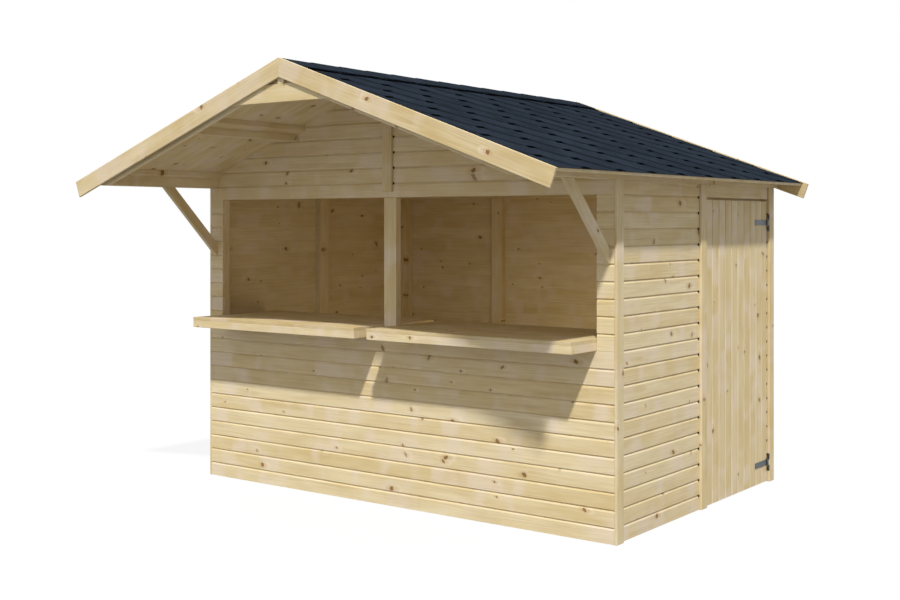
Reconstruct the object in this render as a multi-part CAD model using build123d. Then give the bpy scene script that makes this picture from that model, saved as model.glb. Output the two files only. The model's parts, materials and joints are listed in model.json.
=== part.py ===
from build123d import *
import math
import os

# Wooden market stall: a small gabled hut with a serving front, two counters, a deep
# front roof overhang on braces, and a ledged door in the right-hand wall.
# Millimetres. +Z is up, the serving front faces -Y, X runs left to right along it.
# The origin is on the ground, under the middle of the roof's outline.

# ---- driving dimensions: walls --------------------------------------------------
stall_width = 3000      # over the corner trims
wall_depth = 2026       # front board face to rear board face
wall_height = 1854      # side walls, up to the underside of the wall plates
board = 16              # thickness of every cladding board
stud = 45               # section of the framing timber
trim_width = 72         # corner trims and joint strips
trim_thick = 16
sill_height = 979       # top of the boards under the counters
head_drop = 74          # top of the serving opening and doorway, below wall_height
jamb_offset = 118       # trim face to the side of the serving opening
rear_joint = 600        # joints of the rear wall panels, either side of the middle
gable_strip_lift = 33   # foot of the front gable strip above the opening

# ---- driving dimensions: roof ---------------------------------------------------
roof_pitch = 20         # degrees
front_overhang = 896    # front board face to the face of the front rakes
rear_overhang = 84      # rear board face to the face of the rear rakes
eave_reach = 154        # trim face to the foot of the roof boards, level
roof_board = 16
batten_thick = 30
batten_width = 120      # along the slope
batten_lead = 55        # how far a batten reaches up past the timber that carries it
purlin_inner = 715      # middle of the roof to the purlin's inner face
shingle = 4
shingle_drip = 7        # shingles past the foot of the roof boards
ridge_cap_wing = 165    # each side of the ridge cap, along the slope
rake_width = 97
rake_thick = 16
rake_lift = 7           # rake above the shingles, square to the slope
rake_tail = 45          # rake past the foot of the roof boards, along the slope
inner_rake_drop = 19    # inner rake below the outer one, square to the slope
inner_rake_thick = 16
tie_thick = 16
tie_height = 96
ridge_beam_depth = 107  # from the peak of the roof boards' underside to its own foot
plate_height = 62.6     # wall plates, at their inner face
brace_reach = 436       # how far a brace reaches forward, and so how far down the wall
brace_depth = 60        # square to its length
brace_thick = 27

# ---- driving dimensions: serving counters ---------------------------------------
worktop_reach_out = 250  # forward of the front board face
worktop_reach_in = 493  # behind the front board face
worktop_board = 18
worktop_rail = 44       # height of the timbers under the worktop's boards
worktop_gap = 2         # worktop to post and jambs
post_width = 90

# ---- driving dimensions: door ---------------------------------------------------
door_ground_gap = 5
door_top_gap = 5
door_lock_gap = 5       # door to the joint strip
door_hinge_gap = 10     # door to the rear trim
ledge_width = 95
ledge_thick = 20
ledge_inset_y = 30      # ledge ends in from the door's edges
ledge_inset_z = 90      # ledges in from the door's top and foot
hinge_inset_top = 141   # middle of the upper hinge below the door's top
hinge_inset_foot = 119  # middle of the lower hinge above the door's foot
strap_length = 186
strap_width = 34
strap_thick = 2.5
leaf_height = 108
knuckle_radius = 6
knuckle_height = 14
knuckle_gap = 0.5
pin_radius = 3
pin_clearance = 0.08

# ---- places worked out from them ------------------------------------------------
slope = math.tan(math.radians(roof_pitch))
cos_pitch = math.cos(math.radians(roof_pitch))
sin_pitch = math.sin(math.radians(roof_pitch))

roof_length = front_overhang + wall_depth + rear_overhang
roof_front = -roof_length / 2
roof_rear = roof_length / 2
wall_front = roof_front + front_overhang
wall_rear = wall_front + wall_depth
wall_middle = (wall_front + wall_rear) / 2

head_height = wall_height - head_drop
trim_face = stall_width / 2
board_face = trim_face - trim_thick
stud_face = board_face - board
room_side = stud_face - stud
opening_side = trim_face - jamb_offset
post_side = post_width / 2

front_frame = wall_front + board
front_room = front_frame + stud
rear_frame = wall_rear - board
rear_room = rear_frame - stud

# Heights of the roof's layers where their planes meet over the middle.
batten_under = wall_height + plate_height + slope * room_side
roof_under = batten_under + batten_thick / cos_pitch
roof_top = roof_under + roof_board / cos_pitch
shingle_top = roof_top + shingle / cos_pitch
cap_top = shingle_top + shingle / cos_pitch
rake_top = shingle_top + rake_lift / cos_pitch
rake_under = rake_top - rake_width / cos_pitch
inner_rake_under = rake_under - inner_rake_drop / cos_pitch
ridge_beam_foot = roof_under - ridge_beam_depth

eave_foot = trim_face + eave_reach
beam_side = stud / 2
tie_foot = ridge_beam_foot - tie_height

# Layers of the gable end, from the outer face in.
tie_layer = rake_thick
inner_rake_layer = tie_layer + tie_thick
timber_layer = inner_rake_layer + inner_rake_thick

# The doorway lies between the joint strip and the rear trim.
strip_rear = wall_middle + trim_width / 2
door_front = strip_rear + door_lock_gap
door_rear = wall_rear - trim_width - door_hinge_gap
door_top = head_height - door_top_gap
hinge_heights = (door_top - hinge_inset_top, door_ground_gap + hinge_inset_foot)
pin_x = board_face + knuckle_radius
pin_y = wall_rear - trim_width - knuckle_radius

nodes = {}


def block(x_range, y_range, z_range):
    """A squared timber or board from its limits along X, Y and Z."""
    size = [high - low for low, high in (x_range, y_range, z_range)]
    middle = [(high + low) / 2 for low, high in (x_range, y_range, z_range)]
    return Pos(*middle) * Box(*size)


def mirrored(solid):
    """The same piece on the other side of the stall."""
    return mirror(solid, about=Plane.YZ)


def both_sides(solid):
    return [solid, mirrored(solid)]


def prism(points, y_range):
    """An outline in X and Z, given as points, extended along Y."""
    low, high = y_range
    outline = Plane.XZ * make_face(Polyline(*points, close=True))
    return Pos(0, low, 0) * extrude(outline, amount=high - low, dir=(0, 1, 0))


def roof_height(plane_height, x):
    """Height of a roof layer at x, from its height over the middle."""
    return plane_height - slope * abs(x)


def sloped_slab(under, top, x_inner, x_foot, y_range):
    """A layer of the right-hand slope: plumb at x_inner, cut square at the foot.

    x_foot is where the slab's upper plane ends."""
    run_in = (top - under) * cos_pitch * sin_pitch
    points = [
        (x_inner, roof_height(under, x_inner)),
        (x_inner, roof_height(top, x_inner)),
        (x_foot, roof_height(top, x_foot)),
        (x_foot - run_in, roof_height(under, x_foot - run_in)),
    ]
    return prism(points, y_range)


def add(name, *solids):
    """Names a node and the solids that make it."""
    nodes[name] = list(solids)


# ---- framing of the walls -------------------------------------------------------
def wall_frames():
    full = (-stud_face, stud_face)
    front = (front_frame, front_room)
    rear = (rear_room, rear_frame)
    low = (0, stud)
    sill = (sill_height - stud, sill_height)
    head = (head_height, head_height + stud)
    top = (wall_height - stud, wall_height)
    add("front_rails", block(full, front, low), block(full, front, sill), block(full, front, head))
    add("rear_rails", block(full, rear, low), block(full, rear, top))

    corner = (room_side, stud_face)
    king = block((-post_side, post_side), front, (head[1], ridge_beam_foot))
    centre_low = block((-post_side, post_side), front, (low[1], sill[0]))
    centre_post = block((-post_side, post_side), front, (sill_height, head_height))
    under_purlin = (purlin_inner, purlin_inner + stud)
    purlin_foot = roof_height(batten_under, purlin_inner) - stud
    front_pieces = [king, centre_low, centre_post]
    front_pieces += both_sides(block(corner, front, (low[1], sill[0])))
    front_pieces += both_sides(block((opening_side, stud_face), front, (sill_height, head_height)))
    front_pieces += both_sides(block(under_purlin, front, (head[1], purlin_foot)))
    add("front_studs", *front_pieces)

    joint = (rear_joint - stud, rear_joint + stud)
    rear_king = block((-post_side, post_side), rear, (wall_height, ridge_beam_foot))
    rear_pieces = [rear_king]
    rear_pieces += both_sides(block(corner, rear, (low[1], top[0])))
    rear_pieces += both_sides(block(joint, rear, (low[1], top[0])))
    rear_pieces += both_sides(block(under_purlin, rear, (wall_height, purlin_foot)))
    add("rear_studs", *rear_pieces)

    left = (-stud_face, -room_side)
    left_y = (front_room, rear_room)
    add(
        "side_rails",
        block(left, left_y, low),
        block(left, left_y, top),
        block(corner, (front_room, strip_rear), low),
        block(corner, left_y, top),
    )
    left_joint = (wall_middle - stud, wall_middle + stud)
    right_joint = (strip_rear - 2 * stud, strip_rear)
    end = (front_room, front_room + stud)
    rear_end = (rear_room - stud, rear_room)
    between = (low[1], top[0])
    add(
        "side_studs",
        block(left, end, between),
        block(left, left_joint, between),
        block(left, rear_end, between),
        block(corner, end, between),
        block(corner, right_joint, between),
    )


# ---- boarding of the walls ------------------------------------------------------
def gable(y_range, x_low, x_high, foot):
    """Half of a gable wall, cut round the roof timbers that pass through it."""
    points = [(x_low, foot), (x_low, roof_height(roof_under, x_low))]
    points += [(x_high, roof_height(roof_under, x_high)), (x_high, foot)]
    panel = prism(points, y_range)
    for name in ("ridge_beam", "purlins", "wall_plates", "roof_battens"):
        for timber in nodes[name]:
            panel -= timber
    return panel.solids().sort_by(SortBy.VOLUME)[-1]


def wall_boards():
    front = (wall_front, front_frame)
    rear = (rear_frame, wall_rear)
    add("front_apron", block((-board_face, board_face), front, (0, sill_height)))
    stile = block((opening_side, board_face), front, (sill_height, head_height))
    add("front_stiles", *both_sides(stile))
    front_half = gable(front, 0, board_face, head_height)
    add("front_gable_right", front_half)
    add("front_gable_left", mirrored(front_half))

    side = block((rear_joint, board_face), rear, (0, wall_height))
    add("rear_panel_right", side)
    add("rear_panel_left", mirrored(side))
    add("rear_panel_centre", block((-rear_joint, rear_joint), rear, (0, wall_height)))
    rear_half = gable(rear, 0, board_face, wall_height)
    add("rear_gable_right", rear_half)
    add("rear_gable_left", mirrored(rear_half))

    skin = (stud_face, board_face)
    height = (0, wall_height)
    front_half_wall = block(skin, (front_frame, wall_middle), height)
    add("right_panel_front", front_half_wall)
    add("left_panel_front", mirrored(front_half_wall))
    add("left_panel_rear", mirrored(block(skin, (wall_middle, rear_frame), height)))
    over_door = (head_height, wall_height)
    add("door_head_panel", block(skin, (strip_rear, wall_rear - trim_width), over_door))
    lock_stile = block(skin, (wall_middle, strip_rear), height)
    hinge_stile = block(skin, (wall_rear - trim_width, rear_frame), height)
    add("door_stiles", lock_stile, hinge_stile)


def trims():
    face = (board_face, trim_face)
    height = (0, wall_height)
    front_trim = block(face, (wall_front, wall_front + trim_width), height)
    rear_trim = block(face, (wall_rear - trim_width, wall_rear), height)
    add("corner_trims", *both_sides(front_trim), *both_sides(rear_trim))

    half = trim_width / 2
    side_strip = block(face, (wall_middle - half, wall_middle + half), height)
    rear_face = (wall_rear, wall_rear + trim_thick)
    rear_strip = block((rear_joint - half, rear_joint + half), rear_face, height)
    add("joint_strips", *both_sides(side_strip), *both_sides(rear_strip))

    front_face = (wall_front - trim_thick, wall_front)
    strip_top = ridge_beam_foot
    front_gable = block((-half, half), front_face, (head_height + gable_strip_lift, strip_top))
    rear_gable = block((-half, half), rear_face, (wall_height, strip_top))
    add("gable_strips", front_gable, rear_gable)


# ---- roof -----------------------------------------------------------------------
def bevelled_timber(x_inner, x_outer, foot, y_range):
    """A timber under the battens, its top planed to the roof's slope."""
    points = [(x_inner, foot), (x_inner, roof_height(batten_under, x_inner))]
    points += [(x_outer, roof_height(batten_under, x_outer)), (x_outer, foot)]
    return prism(points, y_range)


def roof_timbers():
    timbers = (roof_front + timber_layer, roof_rear - timber_layer)
    # Each wall plate lies over the studs; an eaves board outside it covers the cladding's top.
    plates = both_sides(bevelled_timber(room_side, stud_face, wall_height, timbers))
    eaves_boards = both_sides(bevelled_timber(stud_face, trim_face, wall_height, timbers))
    add("wall_plates", *plates, *eaves_boards)
    purlin_under = roof_height(batten_under, purlin_inner) - stud
    purlin = bevelled_timber(purlin_inner, purlin_inner + stud, purlin_under, timbers)
    add("purlins", *both_sides(purlin))

    side_top = roof_height(roof_under, beam_side)
    points = [(-beam_side, ridge_beam_foot), (-beam_side, side_top), (0, roof_under)]
    points += [(beam_side, side_top), (beam_side, ridge_beam_foot)]
    add("ridge_beam", prism(points, (roof_front + tie_layer, roof_rear - tie_layer)))

    battens = []
    run = batten_width * cos_pitch
    for x_inner in (beam_side, purlin_inner - batten_lead, trim_face - stud - batten_lead):
        batten = sloped_slab(batten_under, roof_under, x_inner, x_inner + run, timbers)
        battens += both_sides(batten)
    add("roof_battens", *battens)


def roof_skins():
    between_rakes = (roof_front + rake_thick, roof_rear - rake_thick)
    boards = sloped_slab(roof_under, roof_top, 0, eave_foot, between_rakes)
    add("roof_boards_right", boards)
    add("roof_boards_left", mirrored(boards))

    drip = eave_foot + shingle_drip * cos_pitch
    shingles = sloped_slab(roof_top, shingle_top, 0, drip, between_rakes)
    add("shingles_right", shingles)
    add("shingles_left", mirrored(shingles))

    wing = ridge_cap_wing * cos_pitch
    half_cap = sloped_slab(shingle_top, cap_top, 0, wing, between_rakes)
    add("ridge_cap", half_cap + mirrored(half_cap))


def gable_ends():
    rake_foot = eave_foot + rake_tail * cos_pitch
    rakes = []
    for face, inward in ((roof_front, 1), (roof_rear, -1)):
        outer = sorted((face, face + inward * rake_thick))
        rakes.append(sloped_slab(rake_under, rake_top, 0, rake_foot, outer))
    add("rakes_right", *rakes)
    add("rakes_left", *[mirrored(rake) for rake in rakes])

    # The inner rakes end level with the underside of the wall plates.
    level_cut = (inner_rake_under - wall_height) / slope
    outline = [
        (beam_side, roof_height(inner_rake_under, beam_side)),
        (beam_side, roof_height(roof_under, beam_side)),
        (trim_face, roof_height(roof_under, trim_face)),
        (trim_face, wall_height),
        (level_cut, wall_height),
    ]
    inner_rakes = []
    ties = []
    for face, inward in ((roof_front, 1), (roof_rear, -1)):
        inner = sorted((face + inward * inner_rake_layer, face + inward * timber_layer))
        inner_rakes += both_sides(prism(outline, inner))
        layer = sorted((face + inward * tie_layer, face + inward * inner_rake_layer))
        ties.append(gable_tie(layer))
    add("inner_rakes", *inner_rakes)
    add("gable_ties", *ties)


def gable_tie(y_range):
    """The board that joins two inner rakes under the ridge beam."""
    half_foot = (roof_under - tie_foot) / slope
    half_head = (roof_under - ridge_beam_foot) / slope
    points = [(-half_foot, tie_foot), (-half_head, ridge_beam_foot)]
    points += [(half_head, ridge_beam_foot), (half_foot, tie_foot)]
    return prism(points, y_range)


def braces():
    """Braces at 45 degrees from the corner studs to the wall plates, in line with both."""
    rise = brace_depth * math.sqrt(2)
    foot = wall_height - brace_reach
    outline = [
        (wall_front, foot),
        (wall_front - brace_reach, wall_height),
        (wall_front - brace_reach + rise, wall_height),
        (wall_front, foot + rise),
    ]
    face = Plane.YZ * make_face(Polyline(*outline, close=True))
    brace_face = (room_side + stud_face + brace_thick) / 2
    brace = Pos(brace_face - brace_thick, 0, 0) * extrude(face, amount=brace_thick, dir=(1, 0, 0))
    add("front_braces", *both_sides(brace))


# ---- counters -------------------------------------------------------------------
def counters():
    span = (post_side + worktop_gap, opening_side - worktop_gap)
    y_low = wall_front - worktop_reach_out
    y_high = wall_front + worktop_reach_in
    rails_z = (sill_height, sill_height + worktop_rail)
    top_z = (rails_z[1], rails_z[1] + worktop_board)
    add("counter_tops", *both_sides(block(span, (y_low, y_high), top_z)))

    front_rail = block(span, (y_low, y_low + stud), rails_z)
    rear_rail = block(span, (y_high - stud, y_high), rails_z)
    add("counter_rails", *both_sides(front_rail), *both_sides(rear_rail))

    between = (y_low + stud, y_high - stud)
    middle = (span[0] + span[1]) / 2
    bearers = []
    for x_low in (span[0], middle - stud / 2, span[1] - stud):
        bearers += both_sides(block((x_low, x_low + stud), between, rails_z))
    add("counter_bearers", *bearers)


# ---- door -----------------------------------------------------------------------
def door():
    skin = (stud_face, board_face)
    add("door_leaf", block(skin, (door_front, door_rear), (door_ground_gap, door_top)))

    ledge_x = (stud_face - ledge_thick, stud_face)
    ledge_y = (door_front + ledge_inset_y, door_rear - ledge_inset_y)
    foot = door_ground_gap + ledge_inset_z
    top = door_top - ledge_inset_z - ledge_width
    low_ledge = block(ledge_x, ledge_y, (foot, foot + ledge_width))
    high_ledge = block(ledge_x, ledge_y, (top, top + ledge_width))
    add("door_ledges", low_ledge, high_ledge)

    # The diagonal rises from the hinge side of the foot ledge to the lock side of the top one.
    diagonal = [
        (ledge_y[1], foot + ledge_width),
        (ledge_y[1] - ledge_width, foot + ledge_width),
        (ledge_y[0], top),
        (ledge_y[0] + ledge_width, top),
    ]
    face = Plane.YZ * make_face(Polyline(*diagonal, close=True))
    add("door_diagonal", Pos(ledge_x[0], 0, 0) * extrude(face, amount=ledge_thick, dir=(1, 0, 0)))


def hinges():
    straps = []
    leaves = []
    for height in hinge_heights:
        straps.append(hinge_strap(height))
        leaves.append(hinge_leaf(height))
    add("hinge_straps", *straps)
    add("hinge_leaves", *leaves)


def hinge_strap(height):
    """The long flap on the door, rolled round the pin."""
    z_range = (height - strap_width / 2, height + strap_width / 2)
    plate = block((board_face, board_face + strap_thick), (pin_y - strap_length, pin_y), z_range)
    centre = Pos(pin_x, pin_y, height)
    knuckle = centre * Cylinder(knuckle_radius, strap_width)
    bore = centre * Cylinder(pin_radius + pin_clearance, strap_width + 2 * knuckle_gap)
    return (plate + knuckle - bore).solids()[0]


def hinge_leaf(height):
    """The short upright flap on the trim's edge, with the pin and the outer knuckles."""
    trim_edge = wall_rear - trim_width
    z_range = (height - leaf_height / 2, height + leaf_height / 2)
    slot = block((board_face, trim_face), (trim_edge - strap_thick, trim_edge), z_range)
    cut = block(
        (board_face, trim_face),
        (trim_edge - 2 * knuckle_radius, trim_edge),
        (height - strap_width / 2 - knuckle_gap, height + strap_width / 2 + knuckle_gap),
    )
    offset = strap_width / 2 + knuckle_gap + knuckle_height / 2
    pin = Pos(pin_x, pin_y, height) * Cylinder(pin_radius, 2 * offset)
    upper = Pos(pin_x, pin_y, height + offset) * Cylinder(knuckle_radius, knuckle_height)
    lower = Pos(pin_x, pin_y, height - offset) * Cylinder(knuckle_radius, knuckle_height)
    return (slot - cut + upper + lower + pin).solids()[0]


# ---- build and write ------------------------------------------------------------
wall_frames()
roof_timbers()
wall_boards()
trims()
roof_skins()
gable_ends()
braces()
counters()
door()
hinges()

os.makedirs("parts", exist_ok=True)
for name, solids in nodes.items():
    shape = solids[0] if len(solids) == 1 else Compound(children=solids)
    export_step(shape, f"parts/{name}.step")
print(len(nodes), "nodes written")
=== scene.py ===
import json
import math
import bpy
import numpy as np
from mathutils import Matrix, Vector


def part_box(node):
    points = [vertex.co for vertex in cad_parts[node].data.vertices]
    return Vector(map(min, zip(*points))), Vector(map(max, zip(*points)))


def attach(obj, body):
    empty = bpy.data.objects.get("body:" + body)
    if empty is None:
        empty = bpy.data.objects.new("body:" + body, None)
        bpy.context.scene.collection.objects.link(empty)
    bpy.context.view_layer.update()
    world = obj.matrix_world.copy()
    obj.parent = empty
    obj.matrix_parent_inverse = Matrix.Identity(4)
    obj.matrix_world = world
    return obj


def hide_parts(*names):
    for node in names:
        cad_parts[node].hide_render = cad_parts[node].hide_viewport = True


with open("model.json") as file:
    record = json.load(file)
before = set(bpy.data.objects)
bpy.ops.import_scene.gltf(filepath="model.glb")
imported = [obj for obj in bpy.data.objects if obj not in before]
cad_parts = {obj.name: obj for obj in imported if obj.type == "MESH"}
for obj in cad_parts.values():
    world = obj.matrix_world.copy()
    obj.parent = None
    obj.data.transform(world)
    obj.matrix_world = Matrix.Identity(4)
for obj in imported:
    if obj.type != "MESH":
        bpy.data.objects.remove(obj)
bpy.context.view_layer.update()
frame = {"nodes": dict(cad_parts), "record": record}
chance = np.random.default_rng(11)

xAxis, yAxis, zAxis = np.eye(3)
mm = 0.001


def linearColour(hexText):
    # sRGB to linear light: c/12.92 up to 0.04045, above it ((c+0.055)/1.055)^2.4
    srgb = np.array([int(hexText[i:i + 2], 16) / 255 for i in (1, 3, 5)])
    linear = np.where(srgb <= 0.04045, srgb / 12.92, ((srgb + 0.055) / 1.055) ** 2.4)
    return (*linear, 1.0)


def addNode(tree, kind, sockets=None, **settings):
    # settings go to the node's properties; a socket gets a value, or a link from a node or an output
    node = tree.nodes.new("ShaderNode" + kind)
    for key, value in settings.items():
        setattr(node, key, value)
    for key, value in (sockets or {}).items():
        if isinstance(value, bpy.types.Node):
            tree.links.new(value.outputs[0], node.inputs[key])
        elif isinstance(value, bpy.types.NodeSocket):
            tree.links.new(value, node.inputs[key])
        else:
            node.inputs[key].default_value = value
    return node


def newMaterial(name):
    material = bpy.data.materials.new(name)
    material.use_nodes = True
    material.node_tree.nodes.clear()
    return material, material.node_tree


def newObject(name, data):
    made = bpy.data.objects.new(name, data)
    bpy.context.scene.collection.objects.link(made)
    return made


def tubeFaces(first, count, rings, corners):
    # faces of count separate tubes: quads between neighbouring rings, and one cap at each end
    tube = first + np.arange(count)[:, None, None] * rings * corners
    ring = np.arange(rings - 1)[None, :, None] * corners
    here = np.arange(corners)[None, None, :]
    after = (here + 1) % corners
    low = tube + ring
    quads = np.stack([low + here, low + after, low + corners + after, low + corners + here], -1)
    ends = tube[:, 0] + here[0]
    caps = np.concatenate([ends[:, ::-1], ends + (rings - 1) * corners])
    return quads.reshape(-1, 4).tolist() + caps.tolist()


def placePiece(name, tubes, material, body, replaced=(), grains=None):
    # Tubes are arrays of (tube, ring, corner, xyz). Grains, of the same shape, hold each corner's place
    # in its own board (along, across, through); with them, a random seed tells the boards apart.
    faces, first = [], 0
    for rings in tubes:
        faces += tubeFaces(first, *rings.shape[:3])
        first += rings[..., 0].size
    mesh = bpy.data.meshes.new(name)
    mesh.from_pydata(np.concatenate([rings.reshape(-1, 3) for rings in tubes]).tolist(), [], faces)
    mesh.update()
    if grains:
        seeds = [np.broadcast_to(chance.random((len(rings), 1, 1, 3)), rings.shape) for rings in tubes]
        for key, values in (("grain", grains), ("seed", seeds)):
            rows = np.concatenate([part.reshape(-1, 3) for part in values])
            layer = mesh.attributes.new(key, "FLOAT_VECTOR", "POINT")
            layer.data.foreach_set("vector", np.ascontiguousarray(rows, dtype=np.float32).ravel())
    mesh.materials.append(material)
    piece = newObject(name, mesh)
    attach(piece, body)
    if replaced:
        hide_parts(*replaced)
    return piece


spruceNoise = {  # scale along, across and through the board in cycles a metre, detail, roughness
    "fibre": ((8.0, 340.0, 340.0), 2.0, 0.6),   # real fibres are finer than a millimetre, drawn 3 mm wide
    "streak": ((3.4, 120.0, 120.0), 1.0, 0.5),  # and 8 mm wide so that they show
    "cloud": ((3.2, 13.0, 13.0), 2.0, 0.5),     # honey, a hand long
    "blush": ((6.0, 3.0, 3.0), 1.5, 0.5),       # pinkish, as wide as the board
    "drift": ((1.3, 7.0, 7.0), 2.0, 0.5),       # sways the growth rings
    "patchy": ((3.51, 18.9, 18.9), 2.0, 0.5),   # hides them in places
    "ragged": ((110.0, 110.0, 110.0), 2.0, 0.5)}  # edge of the knots
knotParts = {  # shift and squeeze along the grain; where the part fades out and where it is full, in radii
    "rim": (0, 1, 1.15, 0.85), "heart": (0, 1, 0.85, 0.3),
    "smear": (0.4, 0.42, 2.0, 0.7), "patch": (2.4, 0.6, 2.6, 0.9)}


def planedSpruce(name, look):
    # Untreated planed spruce: a matt pale cream face with soft honey and pinkish clouds a hand long,
    # hair-thin fibres along the board, faint growth rings, and brown knots, some of them slanting ovals
    # with an orange smear along the grain and a pale patch beside them.
    material, tree = newMaterial(name)
    grain = addNode(tree, "Attribute", attribute_name="grain").outputs["Vector"]
    seed = addNode(tree, "Attribute", attribute_name="seed").outputs["Vector"]
    seedParts = addNode(tree, "SeparateXYZ", {0: seed})
    far = addNode(tree, "VectorMath", {0: seed, 1: (37.0, 11.0, 23.0)}, operation="MULTIPLY")
    place = addNode(tree, "VectorMath", {0: grain, 1: far}, operation="ADD")
    noise = {}
    for kind, (scale, detail, roughness) in spruceNoise.items():
        scaled = addNode(tree, "VectorMath", {0: place, 1: scale}, operation="MULTIPLY")
        noise[kind] = addNode(tree, "TexNoise", {
            "Vector": scaled, "Scale": 1.0, "Detail": detail, "Roughness": roughness})

    # one possible knot in each cell; the cell's random colour gives its size, its slant and its length
    cell = (look["knotSpacing"], 0.1, 1.0)
    inCells = addNode(tree, "VectorMath", {0: place, 1: cell}, operation="DIVIDE")
    cells = addNode(tree, "TexVoronoi", {
        "Vector": inCells, "Scale": 1.0, "Randomness": 0.9}, voronoi_dimensions="2D")
    luck = addNode(tree, "SeparateColor", {0: cells.outputs["Color"]})
    fromKnot = addNode(tree, "VectorMath", {0: inCells, 1: cells.outputs["Position"]}, operation="SUBTRACT")
    inMetres = addNode(tree, "VectorMath", {0: fromKnot, 1: (cell[0], cell[1], 0.0)}, operation="MULTIPLY")
    offset = addNode(tree, "SeparateXYZ", {0: inMetres})
    slant = addNode(tree, "MapRange", {"Value": luck.outputs[1], "To Min": -0.6, "To Max": 0.6})
    stretch = addNode(tree, "MapRange", {
        "Value": luck.outputs[2], "From Min": 0.4, "To Min": 1.0, "To Max": 0.42})
    alongKnot = addNode(tree, "Math", {
        0: offset.outputs[1], 1: slant, 2: offset.outputs[0]}, operation="MULTIPLY_ADD")
    acrossKnot = addNode(tree, "Math", {0: offset.outputs[1], 1: stretch}, operation="MULTIPLY")
    share = addNode(tree, "MapRange", {"Value": luck.outputs[0], "From Min": 1 - look["knotShare"]})
    sized = addNode(tree, "Math", {0: share, 1: 1.3}, operation="POWER")
    radius = addNode(tree, "MapRange", {
        "Value": sized, "To Min": look["knotSmall"], "To Max": look["knotLarge"]})
    isKnot = addNode(tree, "Math", {0: luck.outputs[0], 1: 1 - look["knotShare"]}, operation="GREATER_THAN")
    strength = addNode(tree, "MapRange", {"Value": luck.outputs[2], "To Min": 1.0, "To Max": 0.4})
    present = addNode(tree, "Math", {0: isKnot, 1: strength}, operation="MULTIPLY")
    raggedness = addNode(tree, "MapRange", {
        "Value": noise["ragged"], "From Min": 0.3, "From Max": 0.7, "To Min": -0.25, "To Max": 0.25})

    def nearKnot(shift, squeeze, outer, inner):
        # 1 inside an oval round the knot, and 0 outside it
        moved = addNode(tree, "Math", {0: radius, 1: -shift}, operation="MULTIPLY")
        movedAlong = addNode(tree, "Math", {0: alongKnot, 1: moved}, operation="ADD")
        narrow = addNode(tree, "Math", {0: movedAlong, 1: squeeze}, operation="MULTIPLY")
        spot = addNode(tree, "CombineXYZ", {0: narrow, 1: acrossKnot})
        reach = addNode(tree, "VectorMath", {0: spot}, operation="LENGTH").outputs["Value"]
        ratio = addNode(tree, "Math", {0: reach, 1: radius}, operation="DIVIDE")
        rough = addNode(tree, "Math", {0: ratio, 1: raggedness}, operation="ADD")
        inside = addNode(tree, "MapRange", {
            "Value": rough, "From Min": outer, "From Max": inner}, interpolation_type="SMOOTHSTEP")
        return addNode(tree, "Math", {0: inside, 1: present}, operation="MULTIPLY")

    rim, heart, smear, patch = [nearKnot(*part) for part in knotParts.values()]

    # growth rings: circles round a pith below the board, drifting sideways and pushed aside near a knot
    centred = addNode(tree, "VectorMath", {
        0: noise["drift"].outputs["Color"], 1: (0.5, 0.5, 0.5)}, operation="SUBTRACT")
    sway = addNode(tree, "VectorMath", {
        0: centred, 1: (0.0, look["sway"], look["sway"])}, operation="MULTIPLY")
    bent = addNode(tree, "VectorMath", {0: grain, 1: sway}, operation="ADD")
    pithAcross = addNode(tree, "MapRange", {"Value": seedParts.outputs[1], "To Min": -0.06, "To Max": 0.06})
    pithBelow = addNode(tree, "MapRange", {"Value": seedParts.outputs[2], "To Min": -0.03, "To Max": -0.11})
    pith = addNode(tree, "CombineXYZ", {1: pithAcross, 2: pithBelow})
    fromPith = addNode(tree, "VectorMath", {0: bent, 1: pith}, operation="SUBTRACT")
    crossways = addNode(tree, "VectorMath", {0: fromPith, 1: (0.0, 1.0, 1.0)}, operation="MULTIPLY")
    ringRadius = addNode(tree, "VectorMath", {0: crossways}, operation="LENGTH").outputs["Value"]
    pushed = addNode(tree, "Math", {
        0: smear, 1: look["ringSpacing"] * 1.5, 2: ringRadius}, operation="MULTIPLY_ADD")
    phase = addNode(tree, "Math", {0: pushed, 1: 2 * math.pi / look["ringSpacing"]}, operation="MULTIPLY")
    wave = addNode(tree, "Math", {0: phase}, operation="SINE")
    late = addNode(tree, "MapRange", {
        "Value": wave, "From Min": -0.2, "From Max": 1.0}, interpolation_type="SMOOTHSTEP")
    ringShow = addNode(tree, "MapRange", {"Value": noise["patchy"], "From Min": 0.42, "From Max": 0.72,
                                          "To Min": 0.2 * look["ringDepth"], "To Max": look["ringDepth"]})
    ringLine = addNode(tree, "Math", {0: late, 1: ringShow}, operation="MULTIPLY")

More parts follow.
